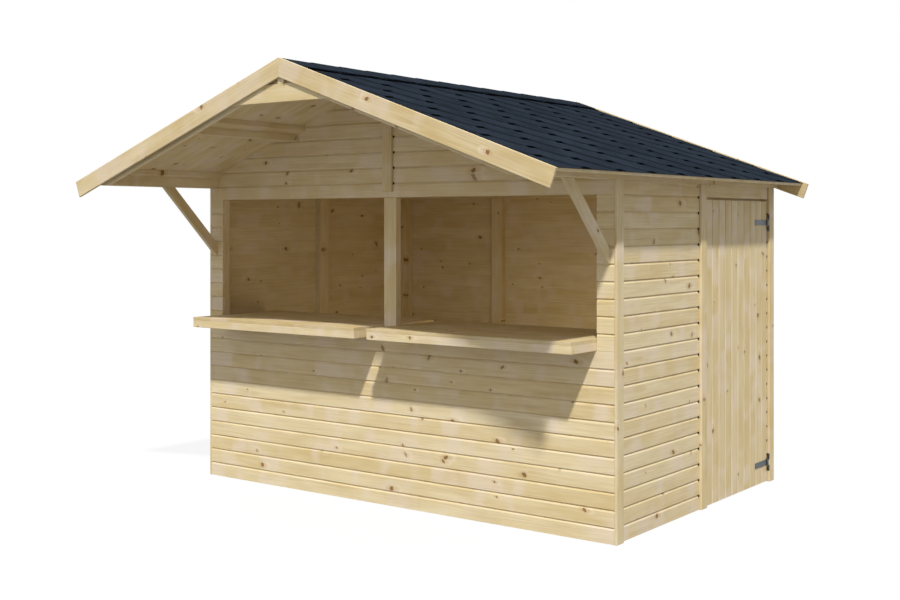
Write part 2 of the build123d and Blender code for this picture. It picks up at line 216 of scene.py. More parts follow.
    # colours: cream to honey by cloud and board, then rings, pink clouds, and the knots on top
    boardTone = addNode(tree, "Math", {0: seedParts.outputs[0], 1: look["boardShare"]}, operation="MULTIPLY")
    warmth = addNode(tree, "Math", {0: noise["cloud"], 1: boardTone}, operation="ADD")
    warmShare = addNode(tree, "MapRange", {
        "Value": warmth, "From Min": 0.3, "From Max": 0.75 + look["boardShare"]})
    blushShare = addNode(tree, "MapRange", {"Value": noise["blush"], "From Min": 0.48, "From Max": 0.68,
                                            "To Max": 0.65}, interpolation_type="SMOOTHSTEP")
    softPatch = addNode(tree, "Math", {0: patch, 1: 0.6}, operation="MULTIPLY")
    softSmear = addNode(tree, "Math", {0: smear, 1: 0.5}, operation="MULTIPLY")
    colour = addNode(tree, "Mix", {"Factor": 0.0, "A": linearColour(look["pale"])}, data_type="RGBA")
    for factor, layer in ((warmShare, "warm"), (ringLine, "latewood"), (blushShare, "blush"),
                          (softPatch, "knotPatch"), (softSmear, "knotSmear"), (rim, "knotRim"),
                          (heart, "knotHeart")):
        colour = addNode(tree, "Mix", {"Factor": factor, "A": colour.outputs["Result"],
                                       "B": linearColour(look[layer])}, data_type="RGBA")
    fibreTone = addNode(tree, "MapRange", {
        "Value": noise["fibre"], "From Min": 0.3, "From Max": 0.7, "To Min": 0.965, "To Max": 1.03})
    streakTone = addNode(tree, "MapRange", {
        "Value": noise["streak"], "From Min": 0.3, "From Max": 0.7, "To Min": 0.955, "To Max": 1.04})
    tone = addNode(tree, "Math", {0: fibreTone, 1: streakTone}, operation="MULTIPLY")
    finished = addNode(tree, "VectorMath", {0: colour.outputs["Result"], "Scale": tone}, operation="SCALE")
    height = addNode(tree, "Math", {0: noise["fibre"], 1: 0.5, 2: ringLine}, operation="MULTIPLY_ADD")
    relief = addNode(tree, "Bump", {"Strength": 0.3, "Distance": 0.0004, "Height": height})
    surface = addNode(tree, "BsdfPrincipled", {
        "Base Color": finished, "Roughness": look["roughness"], "Specular IOR Level": 0.25, "Normal": relief})
    addNode(tree, "OutputMaterial", {"Surface": surface})
    return material


spruceLook = {
    "pale": "#e4d4ae", "warm": "#d0b883", "latewood": "#ba9961", "blush": "#e1cfb6",
    "knotPatch": "#eadcc0", "knotSmear": "#c0975a", "knotRim": "#735629", "knotHeart": "#93703c",
    "ringSpacing": 6 * mm, "ringDepth": 0.32, "sway": 0.02, "knotSpacing": 0.26, "knotShare": 0.3,
    "knotSmall": 4 * mm, "knotLarge": 15 * mm, "boardShare": 0.3, "roughness": 0.7}
claddingSpruce = planedSpruce("claddingSpruce", spruceLook)
framingSpruce = planedSpruce("framingSpruce", {**spruceLook, "knotShare": 0.25, "boardShare": 0.15})
yellower = {"pale": "#e0cfa8", "warm": "#cdb57f"}
doorSpruce = planedSpruce("doorSpruce", {**spruceLook, **yellower, "knotShare": 0.2})
trimSpruce = planedSpruce("trimSpruce", {**spruceLook, **yellower, "knotShare": 0.25, "boardShare": 0.1})
rakeSpruce = planedSpruce("rakeSpruce", {
    **spruceLook, "pale": "#d9c7a0", "warm": "#c6ad78", "blush": "#d9c6aa",
    "ringDepth": 0.45, "knotShare": 0.4, "boardShare": 0.1})
counterSpruce = planedSpruce("counterSpruce", {
    **spruceLook, "pale": "#d6c49c", "warm": "#c3aa73", "blush": "#d9c6aa",
    "knotShare": 0.25, "boardShare": 0.1})
print("materials: spruce")


def feltShingle(name, look):
    # Bitumen felt with crushed slate rolled into it: blue-black and dull, each tab a little lighter or
    # darker. The grit is drawn 5 mm wide, coarser than the real slate, so that it shows from a few metres.
    material, tree = newMaterial(name)
    where = addNode(tree, "TexCoord").outputs["Object"]
    seed = addNode(tree, "Attribute", attribute_name="seed").outputs["Vector"]
    seedParts = addNode(tree, "SeparateXYZ", {0: seed})
    grit = addNode(tree, "TexVoronoi", {"Vector": where, "Scale": 1 / (5 * mm)})
    gritParts = addNode(tree, "SeparateColor", {0: grit.outputs["Color"]})
    patches = addNode(tree, "TexNoise", {"Vector": where, "Scale": 7.0, "Detail": 3.0})
    mixed = addNode(tree, "Math", {0: gritParts.outputs[0], 1: 0.5, 2: patches}, operation="MULTIPLY_ADD")
    toned = addNode(tree, "Math", {0: seedParts.outputs[0], 1: 0.25, 2: mixed}, operation="MULTIPLY_ADD")
    share = addNode(tree, "MapRange", {"Value": toned, "From Min": 0.4, "From Max": 1.3})
    colour = addNode(tree, "Mix", {
        "Factor": share, "A": linearColour(look["dark"]), "B": linearColour(look["light"])}, data_type="RGBA")
    relief = addNode(tree, "Bump", {"Strength": 0.4, "Distance": 0.0008, "Height": gritParts.outputs[0]})
    surface = addNode(tree, "BsdfPrincipled", {"Base Color": colour.outputs["Result"], "Roughness": 0.95,
                                               "Specular IOR Level": 0.0, "Normal": relief})
    addNode(tree, "OutputMaterial", {"Surface": surface})
    return material


slateFelt = feltShingle("slateFelt", {"dark": "#1e2329", "light": "#2e3640"})
# painted shadow: a darker felt for the shade beside the tabs' slanting edges
shadedFelt = feltShingle("shadedFelt", {"dark": "#171b20", "light": "#242b33"})
# painted shadow: near-black felt for the shade under each butt and along the ridge caps' edge
edgeShadowFelt = feltShingle("edgeShadowFelt", {"dark": "#040506", "light": "#08090c"})
print("materials: felt")


def galvanisedSteel(name, dark, light):
    # Hot-dip galvanised sheet: a dull blue-grey metal with slightly lighter and darker spangles
    material, tree = newMaterial(name)
    where = addNode(tree, "TexCoord").outputs["Object"]
    spangle = addNode(tree, "TexVoronoi", {"Vector": where, "Scale": 1 / (9 * mm)})
    spangleParts = addNode(tree, "SeparateColor", {0: spangle.outputs["Color"]})
    colour = addNode(tree, "Mix", {"Factor": spangleParts.outputs[0], "A": linearColour(dark),
                                   "B": linearColour(light)}, data_type="RGBA")
    rough = addNode(tree, "MapRange", {"Value": spangleParts.outputs[1], "To Min": 0.38, "To Max": 0.55})
    surface = addNode(tree, "BsdfPrincipled", {
        "Base Color": colour.outputs["Result"], "Metallic": 1.0, "Roughness": rough})
    addNode(tree, "OutputMaterial", {"Surface": surface})
    return material


zincSteel = galvanisedSteel("zincSteel", "#5a5e62", "#6f7377")
gapShadeZinc = galvanisedSteel("gapShadeZinc", "#5c5852", "#6e6a63")  # the leaves, a little browner than the straps: painted shade of the door gap they sit in
print("materials: steel")


timber = {
    "ease": 2.5 * mm,  # radius of the eased arrises
    "least": 0.3}      # the radius is at most this share of a timber's shortest side


def nodeSolids(nodeName):
    # the corners of each separate solid of a CAD node: triangles that share a corner belong together
    mesh = frame["nodes"][nodeName].data
    points = np.empty(len(mesh.vertices) * 3)
    mesh.vertices.foreach_get("co", points)
    points = points.reshape(-1, 3)
    corners, same = np.unique(np.round(points, 5), axis=0, return_inverse=True)
    triangles = np.empty(len(mesh.loops), dtype=int)
    mesh.loops.foreach_get("vertex_index", triangles)
    triangles = same.ravel()[triangles].reshape(-1, 3)
    label = np.arange(len(corners))
    while True:
        lowest = label[triangles].min(axis=1)
        fresh = label.copy()
        np.minimum.at(fresh, triangles.ravel(), np.repeat(lowest, 3))
        if (fresh == label).all():
            break
        label = fresh
    return [corners[label == one] for one in np.unique(label)]


def insetOutline(outline, distance):
    # each corner moves in along the bisector of its two edges: distance over the cosine of half the turn
    edges = np.roll(outline, -1, axis=0) - outline
    edges = edges / np.linalg.norm(edges, axis=1, keepdims=True)
    outward = np.stack([edges[:, 1], -edges[:, 0]], axis=1)
    before = np.roll(outward, 1, axis=0)
    return outline - distance * (outward + before) / (1 + (outward * before).sum(axis=1, keepdims=True))


def roundedOutline(outline, radius):
    # each corner becomes three points: on the edge before, on the arc, and on the edge after
    toBefore = np.roll(outline, 1, axis=0) - outline
    toAfter = np.roll(outline, -1, axis=0) - outline
    toBefore = toBefore / np.linalg.norm(toBefore, axis=1, keepdims=True) * radius
    toAfter = toAfter / np.linalg.norm(toAfter, axis=1, keepdims=True) * radius
    arc = (toBefore + toAfter) * (1 - math.sqrt(0.5))
    return np.stack([outline + toBefore, outline + arc, outline + toAfter], axis=1).reshape(-1, 2)


def easedPrism(corners):
    # A convex outline carried along one axis. Near each end the outline is drawn in along a quarter
    # circle of radius ease, so every arris of the timber is rounded.
    axis = next(a for a in (1, 0, 2) if len(np.unique(corners[:, a])) == 2)
    flat = [a for a in (0, 1, 2) if a != axis]
    low, high = corners[:, axis].min(), corners[:, axis].max()
    outline = corners[corners[:, axis] == low][:, flat]
    middle = outline.mean(axis=0)
    turn = np.arctan2(*(outline - middle).T[::-1])
    outline = outline[np.argsort(turn)]
    edges = np.roll(outline, -1, axis=0) - outline
    lengths = np.linalg.norm(edges, axis=1)
    ease = min(timber["ease"], lengths.min() * timber["least"], (high - low) * timber["least"])
    arc = np.radians([0, 45, 90])
    insets, depths = ease * (1 - np.sin(arc)), ease * (1 - np.cos(arc))
    stations = np.concatenate([low + depths, high - depths[::-1]])
    rings = []
    for inset, station in zip(np.concatenate([insets, insets[::-1]]), stations):
        ring = roundedOutline(insetOutline(outline, inset), max(ease - inset, ease * 0.05))
        spread = np.empty((len(ring), 3))
        spread[:, flat] = ring
        spread[:, axis] = station
        rings.append(spread)
    rings = np.array(rings)
    if axis == 1:  # an outline in X and Z turns left about +Y only when it is taken backwards
        rings = rings[:, ::-1]
    # grain along the longest edge, or along the axis where that is longer; across is on the wider face
    if lengths.max() > high - low:
        along = np.zeros(3)
        along[flat] = edges[lengths.argmax()] / lengths.max()
        through = np.eye(3)[axis]
    else:
        along = np.eye(3)[axis]
        through = np.eye(3)[flat[0]]
    across = np.cross(through, along)
    if np.ptp(corners @ through) > 1.1 * np.ptp(corners @ across):
        across, through = through, -across
    return rings, np.stack([along, across, through])


def easedPiece(name, solids, material, body, replaced=()):
    # the given solids again, with eased arrises and the grain along their length
    tubes, grains = [], []
    for corners in solids:
        rings, axes = easedPrism(corners)
        tubes.append(rings[None])
        grains.append((rings - rings.reshape(-1, 3).mean(axis=0)) @ axes.T)
    return placePiece(name, tubes, material, body, replaced, grains)


bodyOf = {node: body for body, nodes in frame["record"]["behaviour"]["bodies"].items() for node in nodes}
timberNodes = [
    (framingSpruce, ["front_rails", "rear_rails", "front_studs", "rear_studs", "side_rails", "side_studs",
                     "wall_plates", "purlins", "ridge_beam", "roof_battens", "inner_rakes",
                     "counter_rails", "counter_bearers"]),
    (trimSpruce, ["corner_trims", "joint_strips", "gable_strips", "front_braces"]),
    (rakeSpruce, ["rakes_left", "rakes_right"]),
    (trimSpruce, ["gable_ties"]),
    (doorSpruce, ["door_ledges", "door_diagonal"])]
for material, nodeNames in timberNodes:
    for nodeName in nodeNames:
        easedPiece(nodeName + "_timber", nodeSolids(nodeName), material,
                   bodyOf[nodeName], (nodeName,))
print("timbers:", sum(len(nodeNames) for material, nodeNames in timberNodes), "nodes")


cladding = {
    "first": 83 * mm,                # the lowest board of a wall or gable, its lower edge planed off
    "cover": 89.3 * mm,              # height that every other board covers
    "least": 4 * mm,                 # no board is ripped narrower than this
    "bevelTop": (11 * mm, 6 * mm),   # upper edge of a board: height and depth of its bevel
    "bevelFoot": (5.5 * mm, 6 * mm),
    "slit": (0.5 * mm, 4 * mm),      # under its bevel an edge stands back by this, this deep
    "edge": 1 * mm,                  # bevel of a panel's own foot and top, and of the boards' inner edges
    "shortest": 0.2 * mm}            # length of a board where two cuts would meet


def boardProfiles(widths, thick, topBevel, footBevel, inner, slit=None):
    # The section of each board, inner face first, then the outer face with a bevel at its two edges.
    # Bevels are arrays of width and depth, one row a board; the faces have two middle points. With a
    # slit, the edge under each bevel stands back from its neighbour as far down as the tongue.
    zero = np.zeros_like(widths)
    third = widths / 3
    innerEdge = np.minimum(zero + inner, widths / 4)
    upper, lower = thick - topBevel[:, 1], thick - footBevel[:, 1]
    upperEdge, lowerEdge = [(widths, upper)], [(zero, lower)]
    if slit:
        back, deep = slit
        upperEdge = [(widths, upper - deep), (widths - back, upper - deep), (widths - back, upper)]
        lowerEdge = [(zero + back, lower), (zero + back, lower - deep), (zero, lower - deep)]
    innerFace = [(innerEdge, zero), (third, zero), (2 * third, zero), (widths - innerEdge, zero),
                 (widths, innerEdge)]
    outerFace = [(widths - topBevel[:, 0], zero + thick), (2 * third, zero + thick), (third, zero + thick),
                 (footBevel[:, 0], zero + thick)]
    corners = innerFace + upperEdge + outerFace + lowerEdge + [(zero, innerEdge)]
    return np.array(corners).transpose(2, 0, 1)


def carryBoards(profiles, starts, across, out, lowCuts, highCuts):
    # A point of a board is start + across*u + out*w + along*t. At each end t is where that line meets
    # the cut plane; with several planes the board stops at the first one it meets.
    along = np.cross(across, out)
    fixed = starts[:, None] + profiles[..., :1] * across + profiles[..., 1:] * out
    ends = []
    for cuts, pick in ((lowCuts, np.max), (highCuts, np.min)):
        meets = [((np.asarray(point) - fixed) @ np.asarray(normal)) / (along @ np.asarray(normal))
                 for point, normal in cuts]
        ends.append(pick(np.array(meets), axis=0))
    low, high = ends
    high = np.maximum(high, low + cladding["shortest"])
    rings = np.stack([fixed + low[..., None] * along, fixed + high[..., None] * along], axis=1)
    middle = profiles.mean(axis=1)[:, None, None, :]
    local = np.stack([low, high], axis=1)[..., None]
    start = low.min(axis=1)[:, None, None, None]
    section = np.broadcast_to(profiles[:, None] - middle, rings.shape[:3] + (2,))
    return rings, np.concatenate([local - start, section], -1)


def boardedWall(name, nodeNames, regions, material):
    # regions: profiles, starts, across, out and cut planes of each panel, joined into one piece
    tubes, grains = zip(*[carryBoards(*region) for region in regions])
    return placePiece(name, tubes, material, bodyOf[nodeNames[0]], nodeNames, grains)


def jointHeights(start, low, high):
    # joints between level boards that are laid from start, where they fall well inside low and high
    joints = np.arange(start + cladding["first"], high, cladding["cover"])
    return joints[(joints > low + cladding["least"]) & (joints < high - cladding["least"])]


def levelRows(start, foot, top, thick, origin, out):
    # horizontal boards from foot to top; the last one is ripped to what is left
    edges = np.concatenate([[foot], jointHeights(start, foot, top), [top]])
    widths = np.diff(edges)
    bevelTop = np.tile(cladding["bevelTop"], (len(widths), 1))
    bevelFoot = np.tile(cladding["bevelFoot"], (len(widths), 1))
    bevelTop[-1] = bevelFoot[0] = cladding["edge"]
    profiles = boardProfiles(widths, thick, bevelTop, bevelFoot, cladding["edge"], cladding["slit"])
    starts = np.tile(origin, (len(widths), 1))
    starts[:, 2] = edges[:-1]
    return profiles, starts, zAxis, out


def levelPanels(out, nodeNames):
    # the level boards of rectangular panels, each between the sides of its CAD slab
    along = np.cross(zAxis, out)
    panels = []
    for corners in [solid for nodeName in nodeNames for solid in nodeSolids(nodeName)]:
        low, high = corners.min(axis=0), corners.max(axis=0)
        origin = np.where(out < 0, high, low) * np.abs(out)
        cuts = [[(along * end, along)] for end in sorted((low @ along, high @ along))]
        panels.append((*levelRows(0, low[2], high[2], np.abs(out) @ (high - low), origin, out), *cuts))
    return panels


def gablePanel(nodeName, out):
    # half a gable: level boards between the middle of the wall and the underside of the roof boards
    low, high = np.array(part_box(nodeName))
    along = np.cross(zAxis, out)
    side = 1 if low[0] + high[0] > 0 else -1
    roofNormal = np.array([side * roof["rise"], 0, roof["run"]])
    ridge = np.array([0, 0, roof["under"]])
    rows = levelRows(low[2], low[2], roof["under"], high[1] - low[1],
                     np.where(out < 0, high, low) * np.abs(out), out)
    middle = (np.zeros(3), along)
    sideCut = (side * np.array([max(abs(low[0]), abs(high[0])), 0, 0]), xAxis)
    slope = (ridge, roofNormal)
    if side * along[0] > 0:
        return (*rows, [middle], [sideCut, slope])
    return (*rows, [sideCut, slope], [middle])


def roofPlanes():
    # pitch and plane heights read from the right-hand roof boards, whose corners are exact
    corners = nodeSolids("roof_boards_right")[0]
    middle = corners[np.isclose(corners[:, 0], 0, atol=1e-4)][:, 2]
    foot = corners[corners[:, 0].argmax()]
    fall = (middle.max() - foot[2]) / foot[0]
    run = 1 / math.hypot(1, fall)
    return {"rise": fall * run, "run": run, "under": middle.min(), "top": middle.max(),
            "foot": foot[0], "front": corners[:, 1].min(), "rear": corners[:, 1].max()}


roof = roofPlanes()
print("roof: pitch", round(math.degrees(math.asin(roof["rise"])), 2))

walls = {
    "front_boards": (-yAxis, ["front_apron", "front_stiles"], ["front_gable_left", "front_gable_right"]),
    "rear_boards": (yAxis, ["rear_panel_left", "rear_panel_centre", "rear_panel_right"],
                    ["rear_gable_left", "rear_gable_right"]),
    "left_boards": (-xAxis, ["left_panel_front", "left_panel_rear"], []),
    "right_boards": (xAxis, ["right_panel_front", "door_head_panel", "door_stiles"], [])}
for name, (out, panels, gables) in walls.items():
    regions = levelPanels(out, panels) + [gablePanel(nodeName, out) for nodeName in gables]
    boardedWall(name, panels + gables, regions, claddingSpruce)

# the plugs are painted shade: dark pieces in the groove ends beside the strips and in the door's hinge gap,
# where there is only shadow
shadePlug = {
    "joint_strips": 11 * mm,  # how far a plug shows beside such a strip
    "gable_strips": 7 * mm,
    "inDoorGap": 5 * mm,      # and beside the rear trim, in the gap at the door's hinge edge
    "under": 2 * mm,          # how far it runs on under the strip
    "inset": 0.3 * mm,        # its face lies behind the wall's face
    "play": 0.4 * mm}         # above and below, to the edges of the groove


def grooveShadePlugs():
    # Dark plugs in the grooves beside the strips, painted shade for the dark hollow at each groove's end.
    # Each fills the groove's section, whose corners are given as (out of the wall's face, above the joint),
    # along a short way of the wall.
    inset, play = shadePlug["inset"], shadePlug["play"]
    section = np.array([(-inset, play - cladding["bevelTop"][0]), (-inset, cladding["bevelFoot"][0] - play),
                        (inset - cladding["bevelTop"][1], 0)])
    edges = []
    for nodeName in ("joint_strips", "gable_strips"):
        for corners in nodeSolids(nodeName):
            low, high = corners.min(axis=0), corners.max(axis=0)
            middle = (low + high) / 2
            onSide = abs(middle[0]) > roof["foot"] / 2
            out = xAxis * np.sign(middle[0]) if onSide else yAxis * np.sign(middle[1])
            gable = "front_gable_right" if middle[1] < 0 else "rear_gable_right"
            foot = 0 if nodeName == "joint_strips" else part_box(gable)[0][2]
            face = np.abs(out) * (low if out.sum() > 0 else high)
            away = yAxis if onSide else xAxis
            for direction, edge in ((-1, low), (1, high)):
                doorway = onSide and middle[0] > 0 and direction > 0
                if not doorway:
                    edges.append((face + away * edge, out, away * direction,
                                  jointHeights(foot, low[2], high[2]), shadePlug[nodeName]))
    head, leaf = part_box("door_head_panel"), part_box("door_leaf")
    edges.append((xAxis * leaf[1][0] + yAxis * head[1][1], xAxis, -yAxis,
                  jointHeights(0, leaf[0][2], leaf[1][2]), shadePlug["inDoorGap"]))
    tubes = []
    for place, out, away, joints, shown in edges:
        side = section if np.dot(np.cross(away, out), zAxis) > 0 else section[::-1]
        stations = np.array([-shadePlug["under"], shown])
        tubes.append(place + joints[:, None, None, None] * zAxis + stations[None, :, None, None] * away
                     + side[None, None, :, :1] * out + side[None, None, :, 1:] * zAxis)
    return placePiece("groove_shade_plugs", tubes, paintedGrooveShade, "stall")


def plainMaterial(name, hexText, roughness):
    material, tree = newMaterial(name)
    surface = addNode(tree, "BsdfPrincipled", {
        "Base Color": linearColour(hexText), "Roughness": roughness, "Specular IOR Level": 0.2})
    addNode(tree, "OutputMaterial", {"Surface": surface})
    return material


# painted shade: a matt dark brown that stands for the shadow in the groove ends, nearly black in the shade of
# the strips
paintedGrooveShade = plainMaterial("paintedGrooveShade", "#3d2f1c", 0.95)
grooveShadePlugs()
print("groove plugs done")

doorBoards = {
    "first": 99 * mm,
    "cover": 89.5 * mm,
    "last": 20 * mm,            # the least width of the board at the hinge edge
    "bevel": (5 * mm, 9 * mm),  # width and depth at both edges of a board
    "slit": (0.9 * mm, 3 * mm),
    "edge": 1 * mm,
    "headGap": 9 * mm}          # widens the gap over the door


def uprightDoor():
    # upright boards from the lock edge to the hinge edge, the first at its own width
    low, high = np.array(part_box("door_leaf"))
    edges = np.arange(low[1] + doorBoards["first"], high[1] - doorBoards["last"], doorBoards["cover"])
    edges = np.concatenate([[low[1]], edges, [high[1]]])
    bevelTop = np.tile(doorBoards["bevel"], (len(edges) - 1, 1))
    bevelFoot = bevelTop.copy()
    bevelTop[0] = bevelFoot[-1] = doorBoards["edge"]
    profiles = boardProfiles(np.diff(edges), high[0] - low[0], bevelTop, bevelFoot, doorBoards["edge"],
                             doorBoards["slit"])
    starts = np.zeros((len(profiles), 3))
    starts[:, 0] = low[0]
    starts[:, 1] = edges[1:]
    head = high[2] - doorBoards["headGap"]
    return profiles, starts, -yAxis, xAxis, [((0, 0, low[2]), zAxis)], [((0, 0, head), zAxis)]


boardedWall("door_boards", ["door_leaf"], [uprightDoor()], doorSpruce)

stop = {
    "thick": 18 * mm,
    "behind": 22 * mm,  # from the door's inner face
    "lap": 18 * mm}     # past the door's edges


def doorStops():
    # laths inside the doorway, behind the door's head and its two upright edges, that darken the gaps
    low, high = np.array(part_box("door_leaf"))
    outer = low[0] - stop["behind"]
    inner = outer - stop["thick"]
    lock, hinge, head = low[1] + stop["lap"], high[1] - stop["lap"], high[2] - stop["lap"]
    lockFrame = max(corners[:, 1].max() for corners in nodeSolids("side_studs") if corners[0, 0] > 0)
    hingeFrame = max(nodeSolids("rear_studs"), key=lambda corners: corners[0, 0])[:, 1].min()
    boxes = [((inner, lockFrame, low[2]), (outer, lock, high[2])),
             ((inner, hinge, low[2]), (outer, hingeFrame, high[2])),
             ((inner, lock, head), (outer, hinge, high[2] + 2 * stop["lap"]))]
    return [np.array([(x, y, z) for x in (first[0], last[0]) for y in (first[1], last[1])
                      for z in (first[2], last[2])]) for first, last in boxes]


easedPiece("door_stops", doorStops(), framingSpruce, "stall")

deck = {"cover": 94 * mm, "joint": 1.2 * mm}
worktop = {"cover": 92 * mm, "joint": 0.8 * mm}


def flushBoards(low, high, thick, sizes):
    # edges and sections of boards of equal width that fill low to high
    edges = np.linspace(low, high, round((high - low) / sizes["cover"]) + 1)
    joint = np.full((len(edges) - 1, 2), sizes["joint"])
    return edges, boardProfiles(np.diff(edges), thick, joint, joint, sizes["joint"])


def deckBoards(side):
    # roof boards down the slope, their planed face towards the room, cut plumb at the ridge
    thick = (roof["top"] - roof["under"]) * roof["run"]
    edges, profiles = flushBoards(roof["front"], roof["rear"], thick, deck)
    up = np.array([side * roof["rise"], 0, roof["run"]])
    down = np.array([side * roof["run"], 0, -roof["rise"]])
    starts = np.zeros((len(profiles), 3))
    starts[:, 1] = edges[:-1] if side > 0 else edges[1:]
    starts[:, 2] = roof["top"]
    foot = np.array([side * roof["foot"], 0, roof["top"] - roof["foot"] * roof["rise"] / roof["run"]])
    # along is up the slope, so the foot is the low cut
    return profiles, starts, yAxis * side, -up, [(foot, down)], [(np.zeros(3), xAxis)]


def worktopBoards(corners):
    # boards along the counter, from its front edge to its back edge
    low, high = corners.min(axis=0), corners.max(axis=0)
    edges, profiles = flushBoards(low[1], high[1], high[2] - low[2], worktop)
    starts = np.zeros((len(profiles), 3))
    starts[:, 1] = edges[:-1]
    starts[:, 2] = low[2]
    return profiles, starts, yAxis, zAxis, [((low[0], 0, 0), xAxis)], [((high[0], 0, 0), xAxis)]


worktops = [worktopBoards(corners) for corners in nodeSolids("counter_tops")]
boardedWall("counter_boards", ["counter_tops"], worktops, counterSpruce)
for side, sideName in ((-1, "left"), (1, "right")):
    boardedWall("roof_boarding_" + sideName, ["roof_boards_" + sideName], [deckBoards(side)], framingSpruce)
print("boards done")

# the leaves and their screws take the browner steel, painted shade of the door gap
for nodeName, metal in (("hinge_leaves", gapShadeZinc), ("hinge_straps", zincSteel)):
    node = frame["nodes"][nodeName]
    node.data.materials.clear()
    node.data.materials.append(metal)

screw = {
    "radius": 3.6 * mm, "height": 0.8 * mm, "corners": 12,
    "dome": ((1.0, 0.0), (0.92, 0.6), (0.6, 1.0)),      # shares of the radius and of the height
    "onStrap": (18 * mm, 62 * mm, 106 * mm, 150 * mm),  # from the strap's free end
    "offLine": 7 * mm,                                  # above and below its middle line
    "onLeaf": 43 * mm}                                  # above and below the leaf's middle


def screwHeads(name, spots, out, body, metal):
    # low domed heads: rings of falling radius, one above the other along the outward axis
    turn = np.arange(screw["corners"])[:, None] * 2 * math.pi / screw["corners"]
    circle = np.cos(turn) * np.cross(zAxis, out) + np.sin(turn) * zAxis
    radii, heights = np.array(screw["dome"]).T[..., None, None]
    head = screw["radius"] * radii * circle + screw["height"] * heights * out
    return placePiece(name, [np.array(spots)[:, None, None] + head], metal, body)


strapSpots, leafSpots = [], []
for corners in nodeSolids("hinge_straps"):
    low, high = corners.min(axis=0), corners.max(axis=0)
    face = corners[corners[:, 1] < low[1] + mm][:, 0].max()
    for step, distance in enumerate(screw["onStrap"]):
        height = (low[2] + high[2]) / 2 + (-1) ** step * screw["offLine"]
        strapSpots.append((face, low[1] + distance, height))
for corners in nodeSolids("hinge_leaves"):
    low, high = corners.min(axis=0), corners.max(axis=0)
    face = corners[corners[:, 2] > high[2] - mm][:, 1].min()
    for direction in (-1, 1):
        height = (low[2] + high[2]) / 2 + direction * screw["onLeaf"]
        leafSpots.append(((low[0] + high[0]) / 2, face, height))
screwHeads("strap_screws", strapSpots, xAxis, "door", zincSteel)
screwHeads("leaf_screws", leafSpots, -yAxis, "stall", gapShadeZinc)
print("hinge screws done")


shingle = {
    "exposure": 157 * mm,   # from the butts of one course to those of the next
    "tab": 330 * mm,        # from one hexagonal tab to the next; courses are staggered by half of it
    "butt": 76 * mm,        # width of the flat edge at the foot of a tab
    "gap": 0.2 * mm,        # from a tab's slanting edge to the line where two tabs would meet
    "thick": 2 * mm,
    "headLap": 30 * mm,     # how far a course runs on under the butts two courses above
    "firstTab": 319 * mm,   # from the roof's front edge to the middle of a tab at the eave
    "firstButt": 30 * mm,   # from the eave up to the first butts
    "lastButt": 60 * mm,    # butts keep this far from the ridge,
    "lastHead": 32 * mm,    # and heads this far
    "shortest": 20 * mm,    # least length of a tab that the roof's front or rear edge cuts,
    "narrowest": 3 * mm,    # and its least width
    "drip": 7 * mm}         # how far the starter strip hangs past the roof boards

band = {
    "below": 28 * mm,              # painted shadow, near black, that shows below each butt
    "beside": 56 * mm,             # painted shadow beside the slanting edge nearer the front,
    "lap": 6 * mm,                 # and how far it runs on under the tab
    "capStrip": (-8 * mm, 34 * mm),  # down the slope, measured from the ridge caps' edge
    "edge": 1 * mm,                # a band ends this far inside a butt's two ends
    "margin": 2 * mm,              # and this far inside the roof's front and rear edges
    "belowDrop": 3.3 * mm,         # depth of a band's face under the face that its course would have there
    "eaveDrop": 1.3 * mm,
    "besideDrop": 1.4 * mm,
    "capDrop": -0.8 * mm,
    "slantShadowThick": 0.5 * mm,
    "edgeShadowThick": 0.6 * mm}


def onSlope(side, spots, heights):
    # spots hold (distance down the slope from the ridge, place along the ridge); heights are measured
    # square to the roof boards: ridge + down*distance + along*place + up*height
    down = np.array([side * roof["run"], 0, -roof["rise"]])
    up = np.array([side * roof["rise"], 0, roof["run"]])
    ridge = np.array([0, 0, roof["top"]])
    return ridge + spots[..., :1] * down + spots[..., 1:] * yAxis + heights[..., None] * up


def layFelt(name, side, spots, heights, thick, material, replaced=()):
    # flat pieces of felt: an upper face through the given corners and a lower face one thickness below
    rings = np.stack([onSlope(side, spots, heights - thick), onSlope(side, spots, heights)], axis=1)
    if side < 0:
        rings = rings[:, :, ::-1]
    return placePiece(name, [rings], material, "stall", replaced, [rings])


